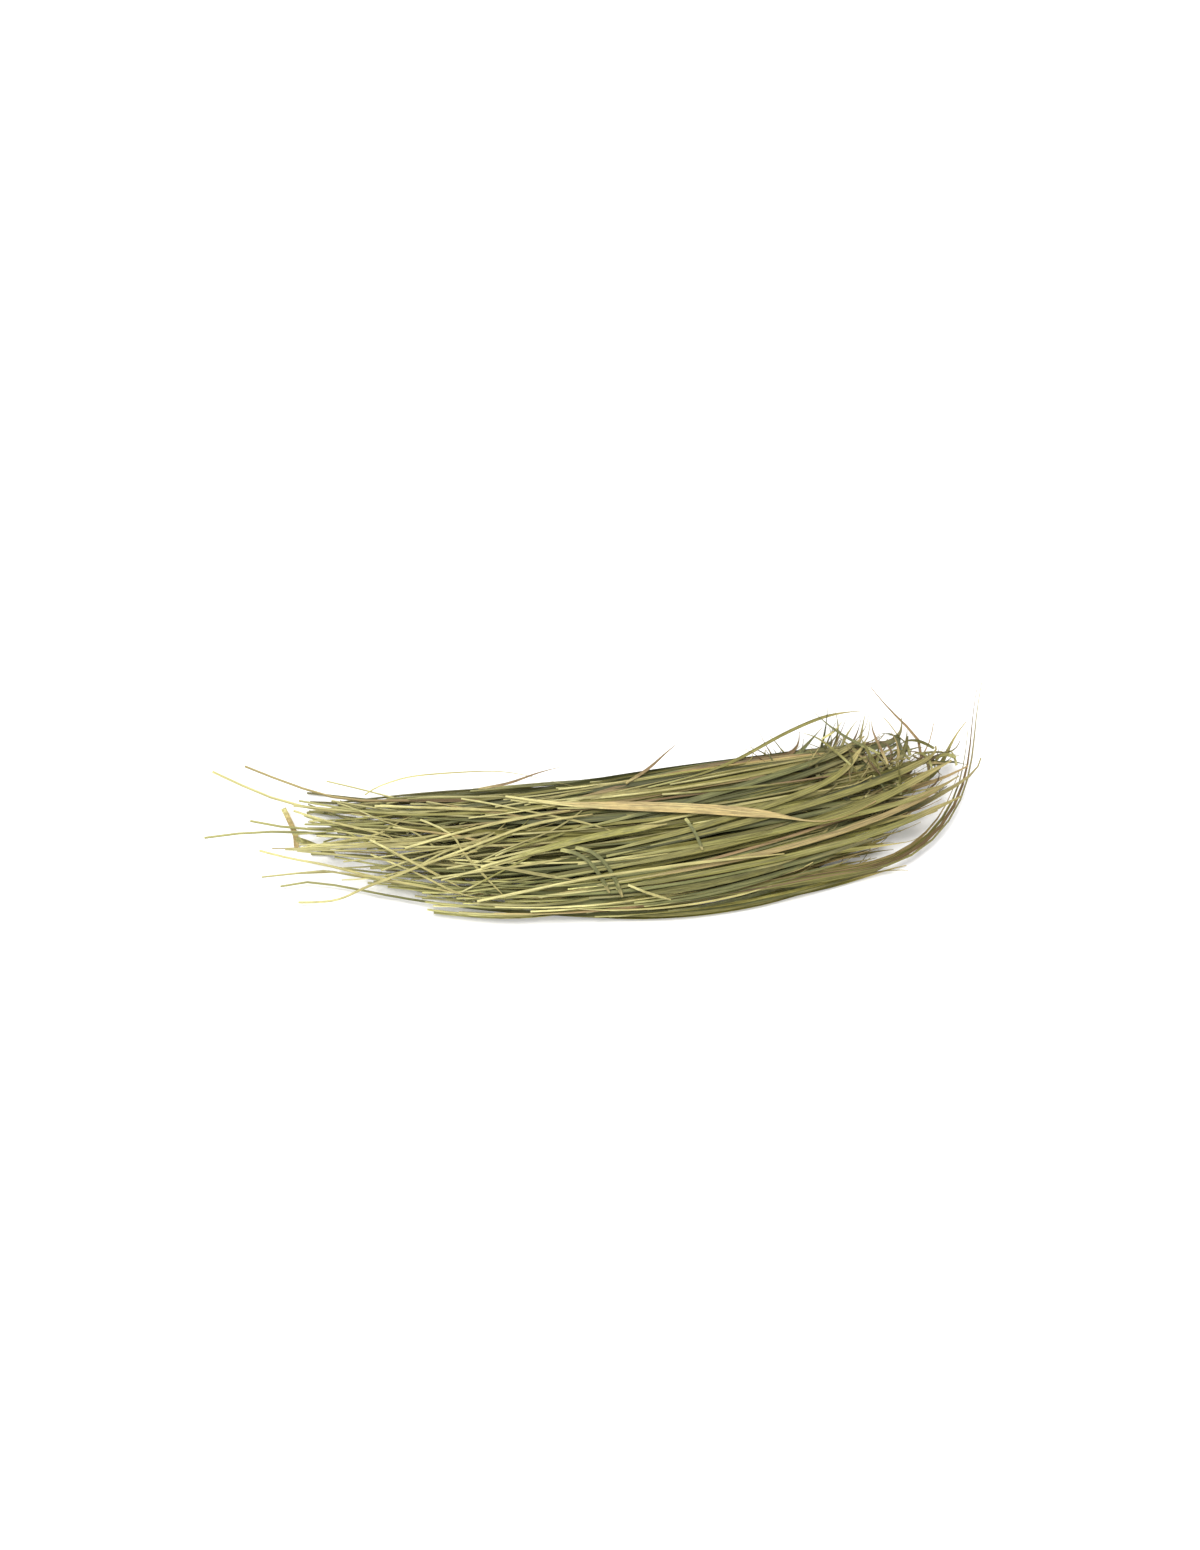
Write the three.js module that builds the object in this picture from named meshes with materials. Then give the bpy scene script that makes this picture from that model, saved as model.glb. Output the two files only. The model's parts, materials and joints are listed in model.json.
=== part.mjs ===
// A loose bundle of dried sweetgrass lying on a flat surface, stems towards -X and tips towards +X.
// It is held together only by its own tangle. Blades that lie close together are modelled as locks,
// each one solid, stacked in three rows. Between the rows, and over the top, lie single whole blades
// whose stem ends and tips stand clear of the heap. Millimetres, +Z up.
import * as THREE from "three";

// ---- Driving dimensions ----
const ARC_RADIUS = 780; // the bundle lies in one slow arc, hollow side towards +Y
const ARC_LOW_X = -54; // where that arc runs parallel to X
const BODY_START = -104; // ends of the dense part, along the arc from its low point
const BODY_END = 232;
const HALF_WIDTH = { root: 27, belly: 44, tip: 35 };
const CROWN = { root: 21, belly: 37, tip: 25 };
const BELLY_AT = 0.62; // share of the body's length where it is widest and highest
const TAPER_END = 1.1; // share of the length where it has shrunk to the tip values
const EDGE_DROP = 0.88; // how far the round back falls away at the two long edges
const END_SLOPE = 3; // share of its height that the back loses in one body length past an end
const LAYER_GAP = 2.3; // height left between two rows of locks, where single blades run
const LOCK_CLEARANCE = 0.06; // share of its place that a lock leaves free all round
const BLADE_KEEL = 0.9; // depth of a folded blade from its edges down to its midrib
const STATION_STEP = 13; // length of one straight piece of a single blade
const LOCK_STATIONS = 14;

const COLOURS = {
  olive: 0x8d8c56,
  grey_green: 0x7b8059,
  yellow_green: 0xa3a256,
  straw: 0xd3cc93,
  tan: 0xc4ac72,
  brown: 0x8c7148,
};
const materials = Object.fromEntries(
  Object.entries(COLOURS).map(([name, color]) => [
    name,
    new THREE.MeshStandardMaterial({ name, color, roughness: 0.7, metalness: 0 }),
  ]),
);

const bundle = new THREE.Group();
const { lerp, smoothstep, clamp } = THREE.MathUtils;

// ---- The heap's outline ----
// Swells from the root value to the belly value, then shrinks to the tip value.
function swell({ root, belly, tip }, t) {
  return t < BELLY_AT
    ? lerp(root, belly, Math.sin((clamp(t, 0, 1) / BELLY_AT) * (Math.PI / 2)))
    : lerp(belly, tip, smoothstep(t, BELLY_AT, TAPER_END));
}

// Height of the heap's back over the surface, at share t of its length and lane u from -1 to 1.
function backHeight(t, u) {
  const beyond = Math.max(0, -t, t - 1); // past either end the back slopes down
  const round = Math.sqrt(Math.max(0, 1 - (EDGE_DROP * u) ** 2));
  return swell(CROWN, t) * round * Math.max(0, 1 - END_SLOPE * beyond);
}

function alongArc(t, u, z) {
  const turn = lerp(BODY_START, BODY_END, t) / ARC_RADIUS;
  const reach = ARC_RADIUS - u * swell(HALF_WIDTH, t);
  return new THREE.Vector3(
    ARC_LOW_X + reach * Math.sin(turn),
    ARC_RADIUS - reach * Math.cos(turn),
    z,
  );
}

// The share of the length and the lane under a point seen from above.
function laneUnder(x, y) {
  const dx = x - ARC_LOW_X;
  const dy = ARC_RADIUS - y;
  const t = (Math.atan2(dx, dy) * ARC_RADIUS - BODY_START) / (BODY_END - BODY_START);
  return { t, u: (ARC_RADIUS - Math.hypot(dx, dy)) / swell(HALF_WIDTH, t) };
}

// ---- Closed tubes from rings of points ----
// Joins rings of equal size into one closed skin, with a point at each end.
function skin(first, rings, last) {
  const size = rings[0].length;
  const points = [first, ...rings.flat(), last];
  const faces = [];
  for (let i = 0; i < size; i++) {
    const j = (i + 1) % size;
    faces.push(0, 1 + j, 1 + i);
    for (let r = 0; r < rings.length - 1; r++) {
      const here = 1 + r * size;
      const next = here + size;
      faces.push(here + i, here + j, next + j);
      faces.push(here + i, next + j, next + i);
    }
    const end = 1 + (rings.length - 1) * size;
    faces.push(end + i, end + j, points.length - 1);
  }
  const geometry = new THREE.BufferGeometry().setFromPoints(points);
  geometry.setIndex(faces);
  geometry.computeVertexNormals();
  return geometry;
}

function addNode(name, geometry, colour) {
  const mesh = new THREE.Mesh(geometry, materials[colour]);
  mesh.name = name;
  bundle.add(mesh);
}

// ---- Locks: blades that lie close together, three rows of them ----
const ROWS = [
  { name: "bottom_lock", count: 8, reach: 0.98, level: 0, drift: -0.03 },
  { name: "middle_lock", count: 8, reach: 0.96, level: 1, drift: 0.02 },
  { name: "top_lock", count: 8, reach: 0.9, level: 2, drift: 0.06 },
];
// Across and up, from -1 to 1: flat below, and three blades' ridges side by side above.
const LOCK_OUTLINE = [
  [1, -0.4], [1, 0.35], [0.68, 1], [0.34, 0.66], [0, 1], [-0.34, 0.66], [-0.68, 1],
  [-1, 0.35], [-1, -0.4], [-0.6, -1], [0.6, -1],
];
const LOCK_COLOURS = ["olive", "grey_green", "yellow_green", "olive", "grey_green"];
const LOCK_FROM = 0.02; // shares of the body's length where a lock starts and ends
const LOCK_TO = 0.97;
const LOCK_STAGGER = 0.025; // how far those two vary from lock to lock
const FRONT_CUT = 0.12; // locks at the front edge end this share of the length sooner
const LOCK_TIP = 12; // how far the point at each end of a lock stands out
// Share of its full section that a lock has at an end, and how fast it grows from there.
const LOCK_ROOT = { fullness: 0.5, growth: 3 };
const LOCK_POINT = { fullness: 0.36, growth: 2.4 };

// Lowest and highest point of a row at one place. The rows share the height that the gaps leave.
function rowSpan(level, t, u) {
  const share = (backHeight(t, u) - 2 * LAYER_GAP) / ROWS.length;
  const low = level * (share + LAYER_GAP);
  return [low, low + share];
}

// Middle of the gap over a row.
function gapHeight(level, t, u) {
  return rowSpan(level, t, u)[1] + LAYER_GAP / 2;
}

// A repeatable wobble from -1 to 1.
const wobble = (seed) => Math.sin(seed * 12.9898) * Math.cos(seed * 4.1414);

function lock(row, index) {
  const seed = index + 1 + 10 * row.level;
  const place = (2 * row.reach) / row.count;
  const centre = -row.reach + place * (index + 0.5);
  const half = (place / 2) * (1 - LOCK_CLEARANCE);
  const from = LOCK_FROM + LOCK_STAGGER * wobble(seed);
  const to = LOCK_TO - FRONT_CUT * Math.max(0, -centre) + LOCK_STAGGER * wobble(seed + 0.5);
  const ringAt = (t, fullness) => LOCK_OUTLINE.map(([across, up]) => {
    const u = centre + half * across * fullness + row.drift * (t - 0.5);
    const [low, high] = rowSpan(row.level, t, u);
    const middle = row.level === 0 ? low : (low + high) / 2;
    const z = lerp(low, high, (up + 1) / 2);
    return alongArc(t, u, lerp(middle, z, fullness));
  });
  const rings = Array.from({ length: LOCK_STATIONS }, (_, i) => {
    const share = i / (LOCK_STATIONS - 1);
    const fromRoot = LOCK_ROOT.fullness + LOCK_ROOT.growth * share;
    const fromPoint = LOCK_POINT.fullness + LOCK_POINT.growth * (1 - share);
    return ringAt(lerp(from, to, share), Math.min(1, fromRoot, fromPoint));
  });
  const middleOf = (ring) => ring
    .reduce((sum, point) => sum.add(point), new THREE.Vector3())
    .divideScalar(ring.length);
  const endPoint = (ring, inner) => {
    const middle = middleOf(ring);
    const outwards = middle.clone().sub(middleOf(inner)).normalize();
    return middle.addScaledVector(outwards, LOCK_TIP);
  };
  return skin(
    endPoint(rings[0], rings[1]),
    rings,
    endPoint(rings.at(-1), rings.at(-2)),
  );
}

for (const row of ROWS) {
  for (let i = 0; i < row.count; i++) {
    const colour = LOCK_COLOURS[(i + 2 * row.level) % LOCK_COLOURS.length];
    addNode(`${row.name}_${i + 1}`, lock(row, i), colour);
  }
}

// ---- Single blades ----
const LOWER = 0; // the gap over the bottom row
const UPPER = 1; // the gap over the middle row
const LEVEL_STEP = 1.9; // height from one blade to another that crosses over it
const SKIN_CLEARANCE = 1.5; // from the heap's back to the middle of a blade lying on it
const POINTS_ALONG = 10; // points that a line through the whole heap has
const LANE_STEP = 0.02; // step across the back, in lanes, to find its slope
const LEAF_OPENS = [0.12, 0.5]; // shares of its length where a blade widens from its stem
const LEAF_TAPERS = [0.72, 1.02]; // and where it narrows to its tip
const LEAST_WIDTH = 0.8;
const LEAST_STATIONS = 7;

const UP = new THREE.Vector3(0, 0, 1);
const at = (x, y, z) => new THREE.Vector3(x, y, z);

// A point on the heap's back, with room for blades already lying there.
function over(x, y, level = 0) {
  const { t, u } = laneUnder(x, y);
  return at(x, y, backHeight(t, u) + SKIN_CLEARANCE + level * LEVEL_STEP);
}

// Points inside the heap, in the gap over a row, from lane to lane and from share to share.
function inside(gap, [laneFrom, laneTo], [from, to]) {
  const count = Math.ceil((to - from) * POINTS_ALONG) + 1;
  return Array.from({ length: count }, (_, i) => {
    const share = i / (count - 1);
    const t = lerp(from, to, share);
    const u = lerp(laneFrom, laneTo, share);
    return alongArc(t, u, gapHeight(gap, t, u));
  });
}

// Tilt of the heap's back across the bundle, so that a blade lies flat on it.
function backTilt(point) {
  const { t, u } = laneUnder(point.x, point.y);
  if (t < 0 || t > 1 || Math.abs(u) > 1) return 0;
  const rise = backHeight(t, u + LANE_STEP) - backHeight(t, u - LANE_STEP);
  const share = clamp(point.z / Math.max(1, backHeight(t, u)), 0, 1);
  return share * Math.atan2(rise, 2 * LANE_STEP * swell(HALF_WIDTH, t));
}

// Width of a blade along its length: a narrow stem, a broad part, then a long taper to the tip.
function widthAt({ stem, broad }, share) {
  const opened = smoothstep(share, ...LEAF_OPENS);
  const tapered = 1 - smoothstep(share, ...LEAF_TAPERS);
  return Math.max(LEAST_WIDTH, lerp(stem, broad, opened) * tapered);
}

// A keeled strip along a smooth line: two edges and a midrib below them.
function strip(points, widths) {
  const line = new THREE.CatmullRomCurve3(points, false, "centripetal");
  const count = Math.max(LEAST_STATIONS, Math.round(line.getLength() / STATION_STEP) + 1);
  const rings = Array.from({ length: count }, (_, i) => {
    const share = (i + 0.5) / count;
    const middle = line.getPointAt(share);
    const along = line.getTangentAt(share);
    const tilt = backTilt(middle) * Math.sign(along.x || 1);
    const across = new THREE.Vector3(-along.y, along.x, 0).normalize()
      .multiplyScalar(Math.cos(tilt))
      .addScaledVector(UP, Math.sin(tilt));
    const down = across.clone().cross(along).normalize();
    const half = widthAt(widths, share) / 2;
    const edges = middle.clone().addScaledVector(down, -BLADE_KEEL / 2);
    const midrib = middle.clone().addScaledVector(down, BLADE_KEEL / 2);
    return [
      midrib,
      edges.clone().addScaledVector(across, half),
      edges.clone().addScaledVector(across, -half),
    ];
  });
  return skin(line.getPointAt(0), rings, line.getPointAt(1));
}

// Widths of the common kinds of blade.
const STALK = { stem: 1.7, broad: 2.2 };
const BLADE = { stem: 1.8, broad: 3.8 };
const FINE_TIP = { stem: 2.6, broad: 2.6 };

function blade(name, colour, widths, ...points) {
  addNode(name, strip(points.flat(), widths), colour);
}

// Blades that run through the heap, with both ends standing clear.
blade("outer_sweeping_blade", "olive", { stem: 1.8, broad: 4 },
  at(-184, -13, 5), at(-172, -13, 8), inside(UPPER, [-0.6, -0.82], [0.03, 0.8]),
  at(161, -6, 11), at(181, 7, 10), at(193, 22, 10), at(200, 38, 10),
  at(204, 56, 10), at(207, 80, 9), at(211, 99, 8));
blade("right_hooked_blade", "grey_green", BLADE,
  at(-216, 9, 5), at(-192, 11, 9), inside(UPPER, [0.1, -0.33], [0, 0.95]),
  at(190, 33, 18), at(206, 43, 17), at(208, 51, 17));
blade("right_gold_blade", "tan", BLADE,
  at(-212, 45, 10), at(-194, 36, 12), at(-176, 28, 14), inside(UPPER, [0.58, 0.02], [0.02, 0.95]),
  at(189, 40, 17), at(201, 47, 15));
blade("back_upright_tip", "brown", BLADE,
  at(-194, 47, 14), at(-173, 38, 16), inside(UPPER, [0.84, 0.36], [0.04, 0.93]),
  at(174, 48, 15), at(180, 57, 14), at(183, 72, 12));
blade("front_low_blade", "grey_green", BLADE,
  at(-174, -18, 4), at(-164, -15, 5), inside(LOWER, [-0.78, -0.92], [0.05, 0.84]),
  at(154, -9, 5), at(168, -9, 4));
blade("back_curled_blade", "olive", BLADE,
  at(-191, 18, 7), at(-178, 15, 7), inside(LOWER, [0.25, 0.55], [0.02, 0.94]),
  at(168, 54, 8), at(167, 62, 6), at(163, 70, 6), at(156, 77, 6));
blade("back_hooked_blade", "brown", BLADE,
  at(-179, 3, 5), at(-170, 4, 6), inside(LOWER, [-0.15, 0.28], [0.02, 0.98]),
  at(179, 51, 13), at(176, 61, 14), at(169, 69, 14), at(159, 79, 13), at(149, 93, 11));
blade("right_forked_tip", "olive", { stem: 2.6, broad: 3 },
  inside(LOWER, [-0.1, 0.04], [0.62, 0.98]),
  at(186, 46, 12), at(189, 54, 13), at(195, 66, 12), at(201, 73, 11));

// Blades and stems lying on the heap's back.
blade("broad_tan_blade", "tan", { stem: 1.6, broad: 6.2 },
  over(-51, 26), over(-26, 21), over(24, 18), over(60, 16), over(99, 13), over(116, 10),
  over(134, 14), over(149, 23));
blade("bent_blade_right", "grey_green", FINE_TIP,
  over(-6, -6), over(1, -11), over(8, -21), over(12, -30));
blade("bent_blade_left", "grey_green", FINE_TIP,
  over(-14, -7), over(-6, -12), over(1, -21), over(5, -28));
blade("short_cross_blade", "grey_green", { stem: 2, broad: 2 },
  over(46, 11), over(51, 3), over(55, -6));
blade("long_yellow_stem", "straw", STALK,
  over(-66, -31), over(-35, -26, 0.5), over(-6, -21, 1), over(8, -19, 1), over(24, -17, 1),
  over(50, -13), over(99, -7));
blade("yellow_green_blade", "yellow_green", { stem: 2.4, broad: 4.8 },
  over(-64, -14), over(-13, -1), over(36, 8));
blade("crossing_stem_low", "straw", STALK,
  over(-91, -11), over(-66, -2), over(-35, 9), over(-4, 14));
blade("crossing_stem_high", "straw", STALK,
  over(-105, -3), over(-76, 5), over(-45, 12), over(-16, 16.5));
blade("back_straight_stem", "straw", STALK,
  over(-122, 22), over(-86, 19.5), over(-50, 17));
blade("front_white_stem", "straw", { stem: 1.6, broad: 1.6 },
  over(15, -24), over(26, -28), over(38, -31));
blade("left_diagonal_stem", "straw", STALK,
  at(-185, 0, 11), at(-170, -5, 15), over(-146, -11, 0.5), over(-128, -16), over(-76, -27));
blade("left_rising_stem", "straw", STALK,
  at(-164, -27, 3), at(-144, -27, 5), over(-128, -23, 1), over(-112, -18.5, 1),
  over(-98, -13.5, 1), over(-84, -9, 1), over(-66, -6, 1));
blade("left_falling_stem", "straw", STALK,
  over(-124, 2), over(-112, -5, 1.6), over(-98, -13, 2.3), over(-88, -18, 2));
blade("folded_leaf", "brown", { stem: 4.4, broad: 3.4 },
  at(-173, 25, 7), at(-169, 17, 5), at(-166, 9, 3), at(-166, 3, 2));

// Strays at the back edge.
blade("back_stray_tip_1", "brown", { stem: 1.6, broad: 1.6 },
  over(-66, 32), over(-50, 35), at(-32, 42, 21), at(-17, 46, 20));
blade("back_stray_tip_2", "brown", { stem: 2, broad: 1.8 },
  over(14, 33), at(27, 43, 25), at(36, 52, 24), at(45, 60, 22));
blade("back_thin_arc", "straw", { stem: 1.3, broad: 1.3 },
  at(-119, 37, 12), at(-106, 41, 13), at(-85, 43, 14), at(-63, 44, 15));
blade("back_arching_blade", "olive", { stem: 2.6, broad: 3.4 },
  over(26, 30), over(52, 37), at(77, 49, 24), at(96, 61, 21), at(115, 71, 18),
  at(130, 77, 15), at(144, 79, 12));

// Tips that curl out of the heap's right end.
blade("curled_tip_1", "grey_green", FINE_TIP,
  over(152, 51), at(136, 59, 25), at(124, 69, 21), at(115, 80, 15));
blade("curled_tip_2", "olive", FINE_TIP,
  over(136, 44), at(124, 55, 27), at(117, 61, 24), at(109, 65, 19));
blade("curled_tip_3", "straw", { stem: 1.6, broad: 1.6 },
  at(121, 60, 23), at(128, 65, 21), at(133, 72, 19));
blade("curled_tip_4", "brown", FINE_TIP,
  over(156, 44, 1), at(151, 58, 24), at(148, 66, 24), at(149, 75, 22));

// The origin is under the middle of the bundle, on the surface it lies on.
const box = new THREE.Box3().setFromObject(bundle, true);
const middle = box.getCenter(new THREE.Vector3());
bundle.position.set(-middle.x, -middle.y, -box.min.z);

export default bundle;
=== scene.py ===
"""A loose bundle of dried sweetgrass, lying on a pale table. Metres, +Z up, tips towards +X."""

import json
import math
import random

import bmesh
import bpy
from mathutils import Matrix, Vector


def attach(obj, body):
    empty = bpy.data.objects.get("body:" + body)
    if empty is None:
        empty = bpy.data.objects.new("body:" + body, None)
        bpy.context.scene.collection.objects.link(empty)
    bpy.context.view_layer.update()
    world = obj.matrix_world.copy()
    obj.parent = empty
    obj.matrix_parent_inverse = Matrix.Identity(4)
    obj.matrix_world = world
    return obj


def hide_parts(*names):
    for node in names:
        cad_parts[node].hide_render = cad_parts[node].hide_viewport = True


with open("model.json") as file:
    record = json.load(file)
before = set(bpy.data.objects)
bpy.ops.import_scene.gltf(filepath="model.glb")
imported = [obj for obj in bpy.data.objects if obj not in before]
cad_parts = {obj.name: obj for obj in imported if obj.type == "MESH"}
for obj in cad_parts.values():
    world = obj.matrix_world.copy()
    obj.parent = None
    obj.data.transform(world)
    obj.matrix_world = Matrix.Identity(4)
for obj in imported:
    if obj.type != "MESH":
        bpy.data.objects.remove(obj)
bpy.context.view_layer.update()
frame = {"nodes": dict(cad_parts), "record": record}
MM = 0.001


# ---- Camera ----
# It looks steeply down on the bundle from its front side, from about two metres, with the bundle
# in the upper half of a tall frame.
CAMERA_ELEVATION = math.radians(75)
CAMERA_DISTANCE = 2.013
AIM = Vector((0.0025, 0.0162, 0.0))

away = Vector((0, -math.cos(CAMERA_ELEVATION), math.sin(CAMERA_ELEVATION)))
bpy.ops.object.select_all(action="DESELECT")
bpy.ops.object.camera_add(
    location=AIM + away * CAMERA_DISTANCE,
    rotation=(math.radians(90) - CAMERA_ELEVATION, 0, 0),
)
camera = bpy.context.object
camera.data.lens = 85
camera.data.sensor_width = 36
bpy.context.scene.camera = camera
bpy.context.scene.view_settings.view_transform = "Standard"


# ---- Table and light ----
# A plain white table, lit evenly from all round and by one broad, soft lamp. The lamp is nearly
# overhead, a little behind the bundle and towards its stem end.
TABLE_SIZE = 12
TABLE_WHITE = (0.93, 0.93, 0.935, 1)
SKY_STRENGTH = 1.04
LAMP_STRENGTH = 2.75
LAMP_SPREAD = math.radians(22)
LAMP_TILT = (math.radians(-8), math.radians(-12), 0)
LAMP_COLOUR = (1, 0.985, 0.95)

bpy.ops.mesh.primitive_plane_add(size=TABLE_SIZE, location=(0, 0, 0))
table = bpy.context.object
table.name = "table"
white = bpy.data.materials.new("table_white")
white.use_nodes = True
table_shader = white.node_tree.nodes["Principled BSDF"]
table_shader.inputs["Base Color"].default_value = TABLE_WHITE
table_shader.inputs["Roughness"].default_value = 0.9
table_shader.inputs["Specular IOR Level"].default_value = 0.1
table.data.materials.append(white)

sky = bpy.data.worlds.new("soft_studio")
sky.use_nodes = True
sky.node_tree.nodes["Background"].inputs["Color"].default_value = (1, 1, 1, 1)
sky.node_tree.nodes["Background"].inputs["Strength"].default_value = SKY_STRENGTH
bpy.context.scene.world = sky

bpy.ops.object.light_add(type="SUN", location=(0, 1, 2), rotation=LAMP_TILT)
lamp = bpy.context.object
lamp.name = "soft_lamp"
lamp.data.energy = LAMP_STRENGTH
lamp.data.angle = LAMP_SPREAD
lamp.data.color = LAMP_COLOUR


# ---- Dried grass finish ----
# Dried sweetgrass is straw pale at its stem, olive or grey green along its leaf, and tan or brown
# at its tip. Fine veins run along it, with a paler midrib, blotches and small brown specks.
STEM_FADE = 0.22
TIP_SHARES = (0.8, 1.02)
TIP_STRENGTH = 0.75
MIDRIB_WIDTH = (0.05, 0.2)
SPECK_COLOUR = (0.12, 0.07, 0.03, 1)
ROUGHNESS_RANGE = (0.42, 0.68)
VEIN_COUNT = 26
RELIEF_STRENGTH = 0.35
RELIEF_DEPTH = 0.15 * MM
GRASS_SHINE = 0.3


def add_socket(tree, name, way, kind, value=None):
    socket = tree.interface.new_socket(name=name, in_out=way, socket_type="NodeSocket" + kind)
    if value is not None:
        socket.default_value = value


def make_blade_effect():
    """A node group: colours along and across a blade, its roughness, and the height of its veins."""
    tree = bpy.data.node_groups.new("grass_blade_effect", "ShaderNodeTree")
    add_socket(tree, "Leaf", "INPUT", "Color", (0.2, 0.2, 0.08, 1))
    add_socket(tree, "Stem", "INPUT", "Color", (0.6, 0.58, 0.3, 1))
    add_socket(tree, "Tip", "INPUT", "Color", (0.3, 0.2, 0.08, 1))
    add_socket(tree, "Stem Share", "INPUT", "Float", 0.3)
    add_socket(tree, "Specks", "INPUT", "Float", 0.4)
    add_socket(tree, "Color", "OUTPUT", "Color")
    add_socket(tree, "Roughness", "OUTPUT", "Float")
    add_socket(tree, "Height", "OUTPUT", "Float")
    nodes, links = tree.nodes, tree.links
    given, out = nodes.new("NodeGroupInput"), nodes.new("NodeGroupOutput")

    def attribute(name):
        node = nodes.new("ShaderNodeAttribute")
        node.attribute_name = name
        return node.outputs["Fac"]

    def math_node(operation, a, b=None):
        node = nodes.new("ShaderNodeMath")
        node.operation = operation
        for socket, value in zip(node.inputs, (a, b)):
            if isinstance(value, bpy.types.NodeSocket):
                links.new(value, socket)
            elif value is not None:
                socket.default_value = value
        return node.outputs[0]

    def ramp(value, low, high, to_low=0.0, to_high=1.0):
        node = nodes.new("ShaderNodeMapRange")
        node.interpolation_type = "SMOOTHSTEP"
        limits = {"From Min": low, "From Max": high, "To Min": to_low, "To Max": to_high}
        for name, number in limits.items():
            if isinstance(number, bpy.types.NodeSocket):
                links.new(number, node.inputs[name])
            else:
                node.inputs[name].default_value = number
        links.new(value, node.inputs["Value"])
        return node.outputs["Result"]

    def mix(share, first, second, blend="MIX"):
        node = nodes.new("ShaderNodeMix")
        node.data_type = "RGBA"
        node.blend_type = blend
        for socket, value in zip((node.inputs[0], node.inputs[6], node.inputs[7]), (share, first, second)):
            if isinstance(value, bpy.types.NodeSocket):
                links.new(value, socket)
            else:
                socket.default_value = value
        return node.outputs[2]

    def noise(stretch, detail=2.0):
        """Noise on the blade's own place. stretch counts its patches along the blade, across it and
        from blade to blade."""
        place = nodes.new("ShaderNodeCombineXYZ")
        for socket, (source, count) in zip(place.inputs, zip((along, across, seed), stretch)):
            links.new(math_node("MULTIPLY", source, count), socket)
        node = nodes.new("ShaderNodeTexNoise")
        node.inputs["Scale"].default_value = 1.0
        node.inputs["Detail"].default_value = detail
        links.new(place.outputs[0], node.inputs["Vector"])
        return node.outputs["Fac"]

    along, across = attribute("along"), attribute("across")
    seed, tone = attribute("seed"), attribute("tone")
    blotches = noise((9, 0.5, 60))
    streaks = noise((14, 5, 60), 3)
    hair = noise((40, 16, 60), 4)

    wavering = math_node("ADD", along, math_node("MULTIPLY", math_node("SUBTRACT", blotches, 0.5), 0.35))
    stem_share = given.outputs["Stem Share"]
    stem = ramp(wavering, stem_share, math_node("ADD", stem_share, STEM_FADE), 1, 0)
    tip = ramp(wavering, *TIP_SHARES)
    colour = mix(stem, given.outputs["Leaf"], given.outputs["Stem"])
    colour = mix(math_node("MULTIPLY", tip, TIP_STRENGTH), colour, given.outputs["Tip"])
    yellowed = math_node("MULTIPLY", ramp(blotches, 0.5, 0.72), 0.3)
    colour = mix(yellowed, colour, mix(0.6, colour, given.outputs["Stem"]))

    off_middle = math_node("ABSOLUTE", across)
    midrib_strength = math_node("SUBTRACT", 0.35, math_node("MULTIPLY", stem, 0.3))
    midrib = math_node("MULTIPLY", ramp(off_middle, *MIDRIB_WIDTH, 1, 0), midrib_strength)
    colour = mix(midrib, colour, mix(0.5, colour, given.outputs["Stem"]))
    light = math_node("MULTIPLY", ramp(streaks, 0.32, 0.68, 0.58, 1.26), ramp(hair, 0.3, 0.7, 0.72, 1.22))
    # tone is each blade's own random tone. It also holds painted shade on the lower rows and painted light
    # on the heap's front edge.
    light = math_node("MULTIPLY", light, tone)
    grey = nodes.new("ShaderNodeCombineColor")
    for socket in grey.inputs:
        links.new(light, socket)
    colour = mix(1.0, colour, grey.outputs[0], "MULTIPLY")
    specks = math_node("MULTIPLY", ramp(noise((160, 7, 90), 1), 0.66, 0.74), given.outputs["Specks"])
    colour = mix(specks, colour, SPECK_COLOUR)
    links.new(colour, out.inputs["Color"])
    links.new(ramp(streaks, 0.2, 0.8, *ROUGHNESS_RANGE), out.inputs["Roughness"])

    veins = math_node("SINE", math_node("MULTIPLY", across, VEIN_COUNT))
    height = math_node("ADD", math_node("MULTIPLY", veins, 0.3), math_node("MULTIPLY", hair, 0.9))
    height = math_node("SUBTRACT", height, math_node("MULTIPLY", midrib, 1.5))
    links.new(height, out.inputs["Height"])
    return tree


def make_grass(name, leaf, stem, tip, stem_share, specks=0.35):
    """stem_share is how much of the length has the stem's colour."""
    material = bpy.data.materials.new(name)
    material.use_nodes = True
    nodes, links = material.node_tree.nodes, material.node_tree.links
    shader = nodes["Principled BSDF"]
    effect = nodes.new("ShaderNodeGroup")
    effect.node_tree = blade_effect
    for socket, colour in (("Leaf", leaf), ("Stem", stem), ("Tip", tip)):
        effect.inputs[socket].default_value = (*colour, 1)
    effect.inputs["Stem Share"].default_value = stem_share
    effect.inputs["Specks"].default_value = specks
    bump = nodes.new("ShaderNodeBump")
    bump.inputs["Strength"].default_value = RELIEF_STRENGTH
    bump.inputs["Distance"].default_value = RELIEF_DEPTH
    links.new(effect.outputs["Color"], shader.inputs["Base Color"])
    links.new(effect.outputs["Roughness"], shader.inputs["Roughness"])
    links.new(effect.outputs["Height"], bump.inputs["Height"])
    links.new(bump.outputs["Normal"], shader.inputs["Normal"])
    shader.inputs["Specular IOR Level"].default_value = GRASS_SHINE
    return material


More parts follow.
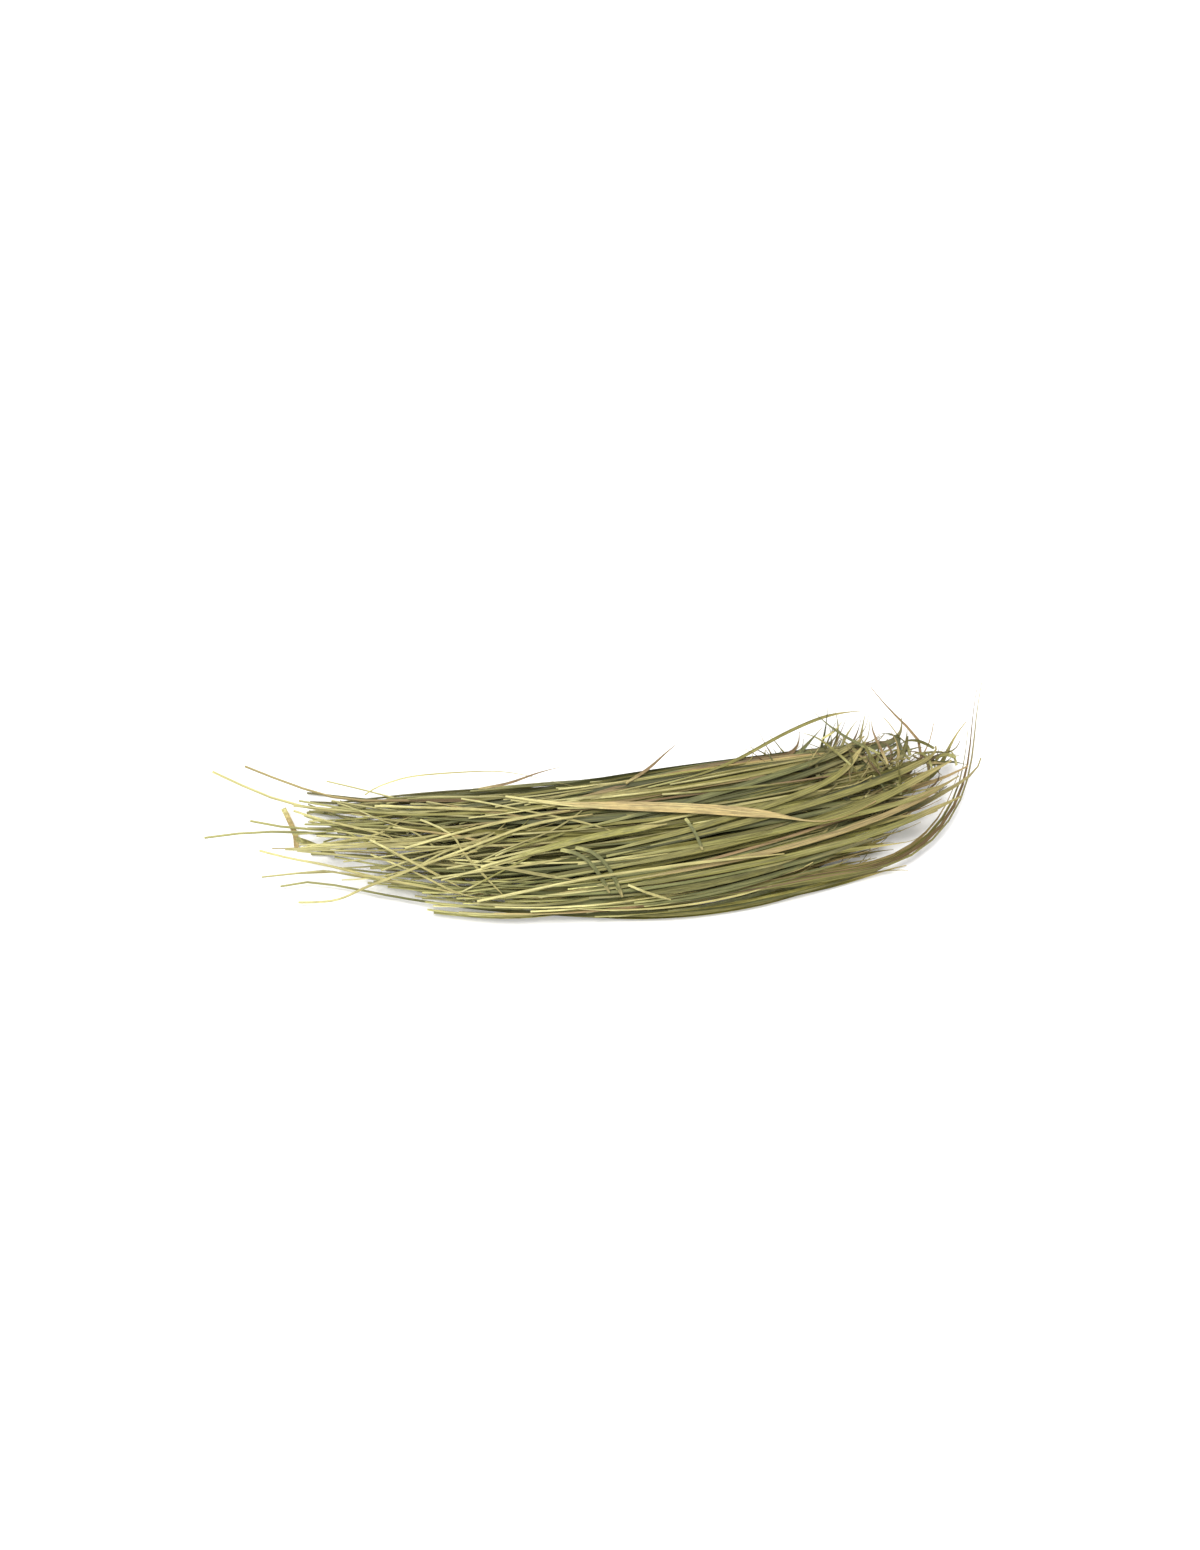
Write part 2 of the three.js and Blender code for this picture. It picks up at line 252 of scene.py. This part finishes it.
blade_effect = make_blade_effect()
PALE_STRAW = (0.54, 0.50, 0.22)
GREEN_STRAW = (0.34, 0.325, 0.125)
WITHERED = (0.22, 0.14, 0.06)
DULL_TAN = (0.37, 0.30, 0.125)
grass = {
    "olive": make_grass("olive_grass", (0.178, 0.162, 0.045), GREEN_STRAW, DULL_TAN, 0.04),
    "grey_green": make_grass("grey_green_grass", (0.112, 0.116, 0.041), GREEN_STRAW, DULL_TAN, 0.02),
    "yellow_green": make_grass("yellow_green_grass", (0.225, 0.212, 0.058), PALE_STRAW, DULL_TAN, 0.05),
    "straw": make_grass("straw_grass", (0.36, 0.32, 0.125), PALE_STRAW, (0.38, 0.31, 0.12), 0.2, 0.15),
    "tan": make_grass("tan_grass", (0.36, 0.275, 0.115), PALE_STRAW, (0.32, 0.22, 0.10), 0.04, 0.6),
    "brown": make_grass("brown_grass", (0.20, 0.135, 0.065), (0.34, 0.28, 0.12), WITHERED, 0.08, 0.5),
}


# ---- Pattern blades ----
# Each plant is a round stem that opens into a long leaf, folded along its midrib, and runs out to a
# fine tip. A few are modelled straight, along X from 0 to 1, and copied; each copy is then bent
# along a guide line to where it lies.
SECTIONS = 30
TIP_CROWDING = 1.3
# The edges of a stem of six sides stand this far out, as a share of its half width.
EDGE_SHARE = math.cos(math.radians(30))
LEAF_THICKNESS = 0.22
TIP_WIDTH = 0.22
THINNEST = 0.16


def section_share(index):
    """Sections stand closer together towards the tip, where blades curl."""
    return 1 - (1 - index / SECTIONS) ** TIP_CROWDING


def ease(share, low, high):
    """Rises smoothly from 0 at low to 1 at high."""
    x = min(1, max(0, (share - low) / (high - low)))
    return x * x * (3 - 2 * x)


def model_blade(name, stem, broad, opens, tapers, fold, leaf_thickness=LEAF_THICKNESS, point=TIP_WIDTH):
    """Sizes in millimetres: width of stem and leaf, leaf thickness and width at the tip. opens and
    tapers are shares of the length, and fold is how far the edges stand up, as a share of half the
    width."""
    def width(share):
        opened = ease(share, *opens)
        return (stem + (broad - stem) * opened) * (1 - ease(share, *tapers)) + point * ease(share, *tapers)

    def thickness(share):
        return max(THINNEST, stem + (leaf_thickness - stem) * ease(share, *opens))

    bpy.ops.object.select_all(action="DESELECT")
    bpy.ops.mesh.primitive_circle_add(
        vertices=6, radius=0.5, fill_type="NGON", rotation=(math.pi / 2, 0, math.pi / 2)
    )
    blade = bpy.context.object
    blade.name = name
    bpy.ops.object.transform_apply(location=False, rotation=True, scale=False)
    bpy.ops.object.mode_set(mode="EDIT")
    bpy.ops.mesh.select_all(action="SELECT")
    bpy.ops.transform.resize(value=(1, width(0) * MM, thickness(0) * MM))
    for index in range(1, SECTIONS + 1):
        last, share = section_share(index - 1), section_share(index)
        bpy.ops.mesh.extrude_region_move(TRANSFORM_OT_translate={"value": (share - last, 0, 0)})
        growth = (1, width(share) / width(last), thickness(share) / thickness(last))
        bpy.ops.transform.resize(value=growth, center_override=(share, 0, 0))
    bpy.ops.mesh.select_all(action="SELECT")
    bpy.ops.mesh.normals_make_consistent(inside=False)
    bpy.ops.mesh.select_all(action="DESELECT")
    # The two edges of each section are lifted together, so that the leaf folds along its midrib.
    for index in range(1, SECTIONS + 1):
        share = section_share(index)
        lift = fold * width(share) / 2 * ease(share, *opens) * MM
        edit = bmesh.from_edit_mesh(blade.data)
        for vertex in edit.verts:
            vertex.select = abs(vertex.co.x - share) < 1e-4 and abs(vertex.co.y) > 1e-6
        edit.select_flush_mode()
        bmesh.update_edit_mesh(blade.data)
        bpy.ops.transform.translate(value=(0, 0, lift))
    bpy.ops.object.mode_set(mode="OBJECT")
    bpy.ops.object.shade_smooth_by_angle(angle=math.radians(66))
    along = blade.data.attributes.new("along", "FLOAT", "POINT")
    across = blade.data.attributes.new("across", "FLOAT", "POINT")
    for vertex in blade.data.vertices:
        along.data[vertex.index].value = vertex.co.x
        across.data[vertex.index].value = vertex.co.y / (width(vertex.co.x) * MM * EDGE_SHARE / 2)
    blade.hide_render = True
    return blade


patterns = {
    "stalk": model_blade("pattern_stalk", 1.4, 1.6, (0.3, 0.7), (0.7, 1.0), 0.2, 1.0, point=0.6),
    "slender": model_blade("pattern_slender", 1.3, 2.6, (0.15, 0.5), (0.8, 1.0), 0.5, point=0.5),
    "common": model_blade("pattern_common", 1.3, 3.5, (0.12, 0.45), (0.84, 1.0), 0.5, point=0.5),
    "rolled": model_blade("pattern_rolled", 1.5, 3.0, (0.15, 0.45), (0.8, 1.0), 0.95, point=0.6),
    "broad": model_blade("pattern_broad", 1.5, 5.2, (0.15, 0.45), (0.84, 1.0), 0.4, point=0.5),
    "flat": model_blade("pattern_flat", 1.5, 4.8, (0.1, 0.4), (0.86, 1.0), 0.08, point=0.5),
    "strip": model_blade("pattern_strip", 2.3, 2.5, (0.0, 0.05), (0.9, 1.0), 0.3, point=1.2),
    "tan_leaf": model_blade("pattern_tan_leaf", 1.5, 6.4, (0.04, 0.42), (0.62, 0.8), 0.12, point=1.1),
    "long_leaf": model_blade("pattern_long_leaf", 1.4, 3.4, (0.1, 0.4), (0.9, 1.0), 0.45, point=0.9),
    "hair": model_blade("pattern_hair", 1.1, 1.4, (0.0, 0.2), (0.3, 1.0), 0.4, point=0.15),
}

guide_line = bpy.data.curves.new("guide_line", "CURVE")
guide_line.dimensions = "3D"
guide_line.twist_mode = "Z_UP"
guide_line.use_stretch = True
guide_line.use_deform_bounds = True
guide = bpy.data.objects.new("guide", guide_line)
bpy.context.scene.collection.objects.link(guide)


def lay_blade(pattern, points, finish, tilts=(0, 0), width=1.0, tone=1.0):
    """A copy of a pattern blade bent along points, turned about its length from the first tilt to the
    last."""
    guide_line.splines.clear()
    line = guide_line.splines.new("NURBS")
    line.points.add(len(points) - 1)
    last = len(points) - 1
    for index, (knot, point) in enumerate(zip(line.points, points)):
        knot.co = (*point, 1)
        knot.radius = width
        place = index / last * (len(tilts) - 1)
        step = min(int(place), len(tilts) - 2)
        knot.tilt = tilts[step] + (tilts[step + 1] - tilts[step]) * (place - step)
    line.order_u = 4
    line.use_endpoint_u = True
    line.resolution_u = 6
    source = patterns[pattern]
    blade = bpy.data.objects.new("blade", source.data.copy())
    bpy.context.scene.collection.objects.link(blade)
    bend = blade.modifiers.new("bend", "CURVE")
    bend.object = guide
    bend.deform_axis = "POS_X"
    bpy.context.view_layer.objects.active = blade
    bpy.ops.object.modifier_apply(modifier="bend")
    count = len(blade.data.vertices)
    seed = random.random()
    for name, value in (("seed", seed), ("tone", tone)):
        layer = blade.data.attributes.new(name, "FLOAT", "POINT")
        layer.data.foreach_set("value", [value] * count)
    blade.data.materials.append(grass[finish])
    return blade


def join_blades(blades, name, slot, *nodes):
    """Makes one piece of them, which rides with the bundle and stands for those CAD nodes."""
    bpy.ops.object.select_all(action="DESELECT")
    for blade in blades:
        blade.select_set(True)
    bpy.context.view_layer.objects.active = blades[0]
    if len(blades) > 1:
        bpy.ops.object.join()
    piece = bpy.context.view_layer.objects.active
    piece.name = name
    piece.data.name = name
    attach(piece, "root")
    if nodes:
        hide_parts(*nodes)
    return piece


# ---- Locks of blades ----
# The heap is three rows of eight locks, each of twelve to twenty-six blades that lie close
# together. Their stems start a little apart at one end, and their tips curl at the other.
ROWS = ("bottom_lock", "middle_lock", "top_lock")
LANES = 8
BLADES_PER_LOCK = (12, 14, 26)
TABLE_CLEARANCE = 1.7 * MM
# How many edges meet at a pointed end: 3 on a single blade and 11 on a lock.
EDGES_AT_END = (3, 11)


def slot_of(node):
    return next(part["material_slot"] for part in frame["record"]["subparts"] if part["node"] == node)


def rings_of(node):
    """Rings of corners of a CAD blade or lock, from one pointed end to the other, stem end first."""
    mesh = bmesh.new()
    mesh.from_mesh(frame["nodes"][node].data)
    bmesh.ops.remove_doubles(mesh, verts=mesh.verts, dist=0.01 * MM)
    ends = [v for v in mesh.verts if len(v.link_edges) in EDGES_AT_END]
    towards = "y" if node.startswith("curled_tip") else "x"
    edge = [min(ends, key=lambda v: getattr(v.co, towards))]
    seen, rings = set(edge), []
    while edge:
        rings.append([v.co.copy() for v in edge])
        beyond = []
        for vertex in edge:
            for link in vertex.link_edges:
                other = link.other_vert(vertex)
                if other not in seen:
                    seen.add(other)
                    beyond.append(other)
        edge = beyond
    mesh.free()
    return rings


def middle_of(ring):
    return sum(ring, Vector()) / len(ring)


lock_lines = [
    [[middle_of(ring) for ring in rings_of(f"{row}_{lane + 1}")[1:-1]] for lane in range(LANES)]
    for row in ROWS
]
STATIONS = len(lock_lines[0][0])
MIDDLE_LANE = (LANES - 1) / 2
# The heap is widest at this level, and narrower above and below it by this share.
WIDEST_LEVEL = 0.7
TOP_LEVEL = 2.5
EDGE_ROUNDING = 0.13


def along_lock(level, lane, share):
    """A point of one lock's middle line. Past its ends the line runs on straight."""
    line = lock_lines[level][lane]
    place = share * (STATIONS - 1)
    step = min(max(int(math.floor(place)), 0), STATIONS - 2)
    return line[step].lerp(line[step + 1], place - step)


def in_heap(share, lane, level):
    """A point of the heap: share of its length, lane from -0.5 to 7.5 and level from -0.5 to 2.5, with
    whole numbers on the middle lines of the locks. The long edges are rounded off."""
    narrowed = 1 - EDGE_ROUNDING * abs(level - WIDEST_LEVEL) ** 2 / TOP_LEVEL
    lane = MIDDLE_LANE + (lane - MIDDLE_LANE) * narrowed
    first = min(max(int(math.floor(lane)), 0), LANES - 2)
    low = min(max(int(math.floor(level)), 0), len(ROWS) - 2)
    rows = [
        along_lock(row, first, share).lerp(along_lock(row, first + 1, share), lane - first)
        for row in (low, low + 1)
    ]
    return rows[0].lerp(rows[1], level - low)


def keep_off_table(points):
    for point in points:
        point.z = max(point.z, TABLE_CLEARANCE)
    return points


CURL_STEP = 7 * MM


def curl_on(points, length, turn, droop, wander=0.0):
    """Runs a line on past its end and brings it down by droop. turn is in radians over the whole
    length, and grows along it."""
    heading = points[-1] - points[-2]
    angle = math.atan2(heading.y, heading.x)
    steps = max(3, round(length / CURL_STEP))
    start = points[-1].z
    place = points[-1].copy()
    for step in range(1, steps + 1):
        share = step / steps
        angle += turn / steps * (0.5 + share) + wander * random.uniform(-1, 1)
        place = place + Vector((math.cos(angle), math.sin(angle), 0)) * (length / steps)
        place.z = start - droop * ease(share, 0, 1)
        points.append(place.copy())
    return points


OWN_COLOUR_SHARE = 0.5
OTHER_COLOURS = {"olive": 32, "grey_green": 26, "yellow_green": 18, "tan": 9, "brown": 10, "straw": 5}


def lock_finish(slot):
    """Half of a lock's blades or more are of its own colour."""
    if random.random() < OWN_COLOUR_SHARE:
        return slot
    return random.choices(list(OTHER_COLOURS), list(OTHER_COLOURS.values()))[0]


FREE_LANES = 3.2
CROWDED_LANES = 0.75


def keep_in_heap(lane):
    """Lanes near the long edges are crowded together, so that no blade runs out of the heap."""
    off_middle = lane - MIDDLE_LANE
    if abs(off_middle) < FREE_LANES:
        return lane
    crowded = CROWDED_LANES * math.tanh((abs(off_middle) - FREE_LANES) / CROWDED_LANES)
    return MIDDLE_LANE + math.copysign(FREE_LANES + crowded, off_middle)


# How many lanes a blade of each row crosses on its way, and how often each pattern comes.
CROSSING = (-0.3, 0.5, 1.7)
KINDS = {"slender": 28, "common": 30, "rolled": 16, "broad": 9, "flat": 6, "stalk": 11}
TOP_KINDS = {"slender": 24, "common": 32, "rolled": 14, "broad": 16, "flat": 8, "stalk": 6}
# Where stems begin and tips end, as shares of the heap's length. Stems begin later where a wedge
# parts them into two groups, and towards the front edge. Tips end sooner towards the back.
FIRST_STEM = -0.04
STEM_SPREAD = 0.5
WEDGE_LANE = 2.7
WEDGE_WIDTH = 1.3
WEDGE_DEPTH = 0.24
FRONT_LANES = 2
FRONT_DELAY = 0.1
MOST_FRONT_LANES = 2.2
TIP_ENDS = (0.78, 1.03)
BACK_SHORTER = 0.18
FRONT_LONGER = 0.035
STEM_SPLAY = (-1.5, 7)
SPLAY_END = 0.16
SPLAY_LENGTH = 0.24
MOST_SWAY = 0.22
BLADE_POINTS = 15
# Most tips end in a short curl. Long ones curl less towards the front edge: lengths in millimetres,
# turns in degrees.
SHORT_CURLS = 0.9
BLADE_WIDTHS = (0.55, 1.05)
BLADE_TONES = (0.62, 1.2)
ODD_TONES = {0.6: 13, 1: 70, 1.18: 17}
# The front edge's blades are paler: partly their own paler colour, partly painted light against the shade
# the lamp behind leaves there. Lower rows are painted darker, as painted shade under the rows above.
FRONT_PALE_AND_PAINTED_LIGHT = 1.45
ROW_PAINTED_SHADE = (0.72, 0.86, 1.0)


def make_lock(level, lane):
    node = f"{ROWS[level]}_{lane + 1}"
    slot = slot_of(node)
    back = lane / (LANES - 1)
    on_top = level == len(ROWS) - 1
    blades = []
    count = BLADES_PER_LOCK[level]
    for index in range(count):
        inside = (index + random.uniform(0.2, 0.8)) / count - 0.5
        height = level + inside * (0.9 if on_top else 1.1) - (0.08 if on_top else 0)
        # Upper blades run from the front of the heap towards its back; lower ones hardly cross.
        middle = lane + random.uniform(-0.5, 0.5)
        crossing = CROSSING[level] + random.gauss(0, 0.5)
        left = middle - crossing + random.gauss(0, 2.5)
        right = middle + 0.7 * crossing + random.gauss(0, 0.6)
        start = FIRST_STEM + STEM_SPREAD * random.random() ** 1.15
        start += WEDGE_DEPTH * max(0, 1 - abs(left - WEDGE_LANE) / WEDGE_WIDTH)
        start += FRONT_DELAY * min(MOST_FRONT_LANES, max(0, FRONT_LANES - left))
        end = random.uniform(*TIP_ENDS) - BACK_SHORTER * max(0, back - 0.6)
        end += FRONT_LONGER if 0.1 < back < 0.5 else 0
        splay = random.gauss(*STEM_SPLAY) * MM
        sway = random.uniform(0, MOST_SWAY)
        points = []
        for step in range(BLADE_POINTS):
            along = start + (end - start) * step / (BLADE_POINTS - 1)
            # left, middle and right are its lanes at the heap's stem end, half way and at the tip end.
            lane_here = left * (1 - along) * (1 - 2 * along) + middle * 4 * along * (1 - along)
            lane_here += right * along * (2 * along - 1)
            lane_here = keep_in_heap(lane_here + sway * math.sin(5 * along + index))
            point = in_heap(along, lane_here, height + 0.02 * math.sin(9 * along + index))
            point.y += splay * ease(SPLAY_END - along, 0, SPLAY_LENGTH)
            points.append(point)
        if random.random() < SHORT_CURLS:
            length, turn = random.uniform(5, 17), random.gauss(16, 16)
        elif back < 0.35:
            length, turn = random.uniform(26, 40), random.uniform(30, 50)
        else:
            length, turn = random.uniform(15, 30), random.gauss(60, 25)
        droop = min(points[-1].z - 2 * MM, random.uniform(-3, 12) * MM)
        curl_on(points, length * MM, math.radians(turn), droop, 0.04 + 0.06 * back)
        lean = math.radians(random.gauss(0, 24))
        tilts = [lean] + [lean + random.gauss(0, spread) for spread in (0.2, 0.4, 0.8)]
        kinds = TOP_KINDS if on_top else KINDS
        kind = random.choices(list(kinds), list(kinds.values()))[0]
        finish = "straw" if kind == "stalk" else lock_finish(slot)
        width = random.uniform(*BLADE_WIDTHS)
        tone = random.uniform(*BLADE_TONES)
        tone *= random.choices(list(ODD_TONES), list(ODD_TONES.values()))[0]
        # Painted light on the front edge, painted shade on the lower rows.
        tone *= FRONT_PALE_AND_PAINTED_LIGHT if lane < FRONT_LANES else ROW_PAINTED_SHADE[level]
        blades.append(lay_blade(kind, keep_off_table(points), finish, tilts, width, tone))
    join_blades(blades, f"{node}_blades", slot, node)


random.seed(41)
for level in range(len(ROWS)):
    for lane in range(LANES):
        make_lock(level, lane)


# ---- Single blades ----
# Whole blades that run through the heap or lie on its back, each in its own place.
# Those on its back are lifted a little, onto the blades under them.
LIFT = 1.3 * MM
ON_THE_BACK = (
    "broad_tan_blade", "bent_blade_right", "bent_blade_left", "short_cross_blade", "long_yellow_stem",
    "yellow_green_blade", "crossing_stem_low", "crossing_stem_high", "back_straight_stem",
    "front_white_stem", "left_diagonal_stem", "left_rising_stem", "left_falling_stem",
)
# Each blade's pattern and its width, as a share of the pattern's.
SINGLES = {
    "outer_sweeping_blade": ("long_leaf", 0.8),
    "right_hooked_blade": ("long_leaf", 1.0),
    "right_gold_blade": ("long_leaf", 1.15),
    "back_upright_tip": ("slender", 1.1),
    "front_low_blade": ("slender", 1.0),
    "back_curled_blade": ("slender", 1.1),
    "back_hooked_blade": ("long_leaf", 0.55),
    "right_forked_tip": ("slender", 1.2),
    "broad_tan_blade": ("tan_leaf", 1.0),
    "bent_blade_right": ("strip", 0.95),
    "bent_blade_left": ("strip", 0.95),
    "short_cross_blade": ("strip", 0.8),
    "long_yellow_stem": ("stalk", 1.1),
    "yellow_green_blade": ("common", 1.2),
    "crossing_stem_low": ("stalk", 1.1),
    "crossing_stem_high": ("stalk", 1.1),
    "back_straight_stem": ("stalk", 1.1),
    "front_white_stem": ("stalk", 1.0),
    "left_diagonal_stem": ("stalk", 1.0),
    "left_rising_stem": ("stalk", 1.0),
    "left_falling_stem": ("stalk", 0.9),
    "folded_leaf": ("strip", 1.35),
    "back_stray_tip_1": ("hair", 1.2),
    "back_stray_tip_2": ("hair", 1.4),
    "back_thin_arc": ("hair", 0.75),
    "back_arching_blade": ("slender", 0.85),
    "curled_tip_1": ("hair", 1.3),
    "curled_tip_2": ("hair", 1.2),
    "curled_tip_3": ("hair", 1.0),
    "curled_tip_4": ("hair", 1.3),
}

# How a blade turns about its own length on its way, in radians.
TWISTS = {"broad_tan_blade": (0.1, 0.0, -0.15, 0.1, 2.6), "outer_sweeping_blade": (0.2, 0.3, 0.5, 1.2, 1.5)}
PLAIN_TWIST = (0.1, -0.1)
SINGLE_TONE = 1.1

# The hooked ends of the two bent blades, the two ends of the thin arc, and the folded leaf's other
# half, in millimetres.
BENT_HOOK = (-7, 1.5, -1)
ARC_START = ((-126, 2.6, 9), (-121, 6, 11))
ARC_END = ((-48, 14, 16), (-33, 10, 19), (-9, 3, 23))
OTHER_HALF = ((-163, -21, 3), (-157, -23, 4.5), (-150, -26.5, 5), (-142, -30, 5.5))
# Three more blades lie against the sweeping one and end one after another: finish and length share.
COMPANIONS = (("brown", 0.97), ("olive", 0.92), ("tan", 0.87))
COMPANION_SHIFT = (-2.0, 1.0, 1.0)


def single_path(node):
    """The middle line of the CAD blade."""
    lift = Vector((0, 0, LIFT if node in ON_THE_BACK else 0))
    return keep_off_table([middle_of(ring) + lift for ring in rings_of(node)])


def in_metres(places):
    return [Vector(place) * MM for place in places]


for node, (kind, width) in SINGLES.items():
    slot = slot_of(node)
    path = single_path(node)
    if node.startswith("bent_blade"):
        path.insert(0, path[0] + Vector(BENT_HOOK) * MM)
    if node == "back_thin_arc":
        path = in_metres(ARC_START) + path[1:] + in_metres(ARC_END)
    finish = "tan" if node == "folded_leaf" else slot
    blades = [lay_blade(kind, path, finish, TWISTS.get(node, PLAIN_TWIST), width, SINGLE_TONE)]
    if node == "folded_leaf":
        blades.append(lay_blade(kind, in_metres(OTHER_HALF), "olive", (0.3, 0.1), width, 1.2))
    if node == "outer_sweeping_blade":
        for place, (finish, last) in enumerate(COMPANIONS, start=1):
            shift = Vector(COMPANION_SHIFT) * MM * place
            beside = [point + shift * (index / len(path)) for index, point in enumerate(path)]
            beside = beside[:round(last * len(path))]
            blades.append(lay_blade("common", beside, finish, (0.4, 1.0), 0.85, 0.9))
    join_blades(blades, f"{node}_grass", slot, node)


# ---- Broad leaves at the tip end ----
# The broadest leaves lie on the heap's back and sweep on past the others, towards its back edge.
# Each has its finish, width, tone and places in the heap: share of the length and lane.
BROAD_LEAVES = (
    ("olive", 1.25, 1.05,
     ((0.42, 1.0), (0.6, 1.5), (0.81, 2.1), (0.96, 2.4), (1.04, 3.6), (1.09, 4.6))),
    ("tan", 1.0, 0.8,
     ((0.5, 0.4), (0.66, 0.6), (0.82, 0.8), (0.95, 1.2), (1.04, 1.9), (1.12, 3.0))),
    ("yellow_green", 1.1, 0.85,
     ((0.4, -0.2), (0.6, 0.0), (0.83, 0.2), (0.98, 0.3), (1.06, 0.6), (1.12, 1.4))),
    ("olive", 1.1, 1.05,
     ((0.45, 2.2), (0.62, 3.0), (0.78, 4.0), (0.88, 5.3), (0.94, 6.6), (0.97, 8.0))),
    ("grey_green", 1.05, 1.05,
     ((0.4, 4.0), (0.6, 5.0), (0.78, 6.2), (0.88, 7.0), (0.94, 7.7), (0.97, 8.6))),
    ("olive", 1.15, 0.95,
     ((0.5, 2.2), (0.7, 2.9), (0.86, 3.6), (0.97, 4.2), (1.05, 5.2), (1.08, 6.3))),
    ("yellow_green", 0.9, 0.9,
     ((0.45, 1.8), (0.65, 2.0), (0.85, 2.1), (1.0, 2.0), (1.08, 2.4), (1.13, 3.2))),
)

# Each comes out from under the top blades and then lies on them.
LEAF_FOOT_LEVEL = 2.3
LEAF_TWIST = (0.1, -0.2, 0.1, -0.1)

leaves = []
for finish, width, tone, places in BROAD_LEAVES:
    points = [in_heap(*places[0], LEAF_FOOT_LEVEL)]
    points += [in_heap(share, lane, TOP_LEVEL) for share, lane in places[1:]]
    leaves.append(lay_blade("long_leaf", keep_off_table(points), finish, LEAF_TWIST, width, tone))
join_blades(leaves, "broad_tip_leaves", "olive")


# ---- Loose stems ----
# Short, pale stems that have slipped on to the heap's back at the stem end, at all small angles.
# Every sixth lies further on, near the back edge.
LOOSE_STEMS = 44
STEM_POINTS = 6
STEM_LEVEL = 2.42
STEM_WAVE = 0.12

stems = []
for index in range(LOOSE_STEMS):
    share = random.uniform(-0.06, 0.34)
    reach = random.uniform(0.12, 0.36)
    lane = random.uniform(0.3, 6.7)
    slant = random.gauss(0.5, 2.8)
    if index % 6 == 0:
        share, lane, slant = random.uniform(0.3, 0.65), random.uniform(5.5, 7.4), random.gauss(0.5, 0.9)
    points = []
    for step in range(STEM_POINTS):
        part_way = step / (STEM_POINTS - 1)
        lane_here = keep_in_heap(lane + slant * (part_way - 0.5))
        points.append(in_heap(share + reach * part_way, lane_here, STEM_LEVEL + STEM_WAVE * math.sin(step)))
    finish = random.choices(("straw", "yellow_green", "tan"), (7, 2, 1))[0]
    kind = random.choices(("stalk", "hair", "slender"), (6, 2, 2))[0]
    width = random.uniform(0.6, 0.95)
    tone = random.uniform(0.75, 1.1)
    stems.append(lay_blade(kind, points, finish, (0, 0.3), width, tone))
join_blades(stems, "loose_stems", "straw")


# ---- Tangled tips ----
# At the back of the tip end many thin, dry tips have curled over each other. They grow out of the
# blades there, some standing up, most bent back towards the stems.
TANGLE_COUNT = 110
TANGLE_PARTS = 2
# Which way tips point, in degrees from the bundle's length towards its back, and how often.
POINTINGS = {128: 45, 60: 25, 95: 15, 10: 15}
TIP_RISE = 0.25
TIP_COLOURS = {"olive": 32, "grey_green": 26, "brown": 20, "tan": 14, "straw": 8}

for part in range(TANGLE_PARTS):
    tips = []
    for index in range(TANGLE_COUNT // TANGLE_PARTS):
        if index % 2:
            # Out of the back edge
            root = in_heap(random.uniform(0.78, 0.97), random.uniform(4.4, 7.3), random.uniform(0.6, 2.3))
            length, turn = random.triangular(9, 38, 18), random.gauss(15, 40)
        else:
            # Curled up on the ends of the leaves
            root = in_heap(random.uniform(0.9, 1.08), random.uniform(3.2, 7), random.uniform(1.7, 2.5))
            length, turn = random.uniform(7, 19), random.gauss(60, 60)
        pointing = random.choices(list(POINTINGS), list(POINTINGS.values()))[0]
        angle = math.radians(random.gauss(pointing, 14 if index % 2 else 40))
        step = Vector((math.cos(angle), math.sin(angle), TIP_RISE)) * 6 * MM
        points = [root - step, root]
        droop = random.uniform(-6, 6) * MM
        curl_on(points, length * MM, math.radians(turn), min(droop, root.z - 2 * MM), 0.1)
        finish = random.choices(list(TIP_COLOURS), list(TIP_COLOURS.values()))[0]
        twist = random.gauss(0, 0.6)
        twists = (twist, twist + random.gauss(0, 1))
        width = random.uniform(1.0, 1.9)
        tone = random.uniform(0.55, 1.0)
        tips.append(lay_blade("hair", keep_off_table(points), finish, twists, width, tone))
    join_blades(tips, f"tangled_tips_{part + 1}", "olive")


# ---- Clearing up ----
for pattern in patterns.values():
    bpy.data.objects.remove(pattern)
bpy.data.objects.remove(guide)
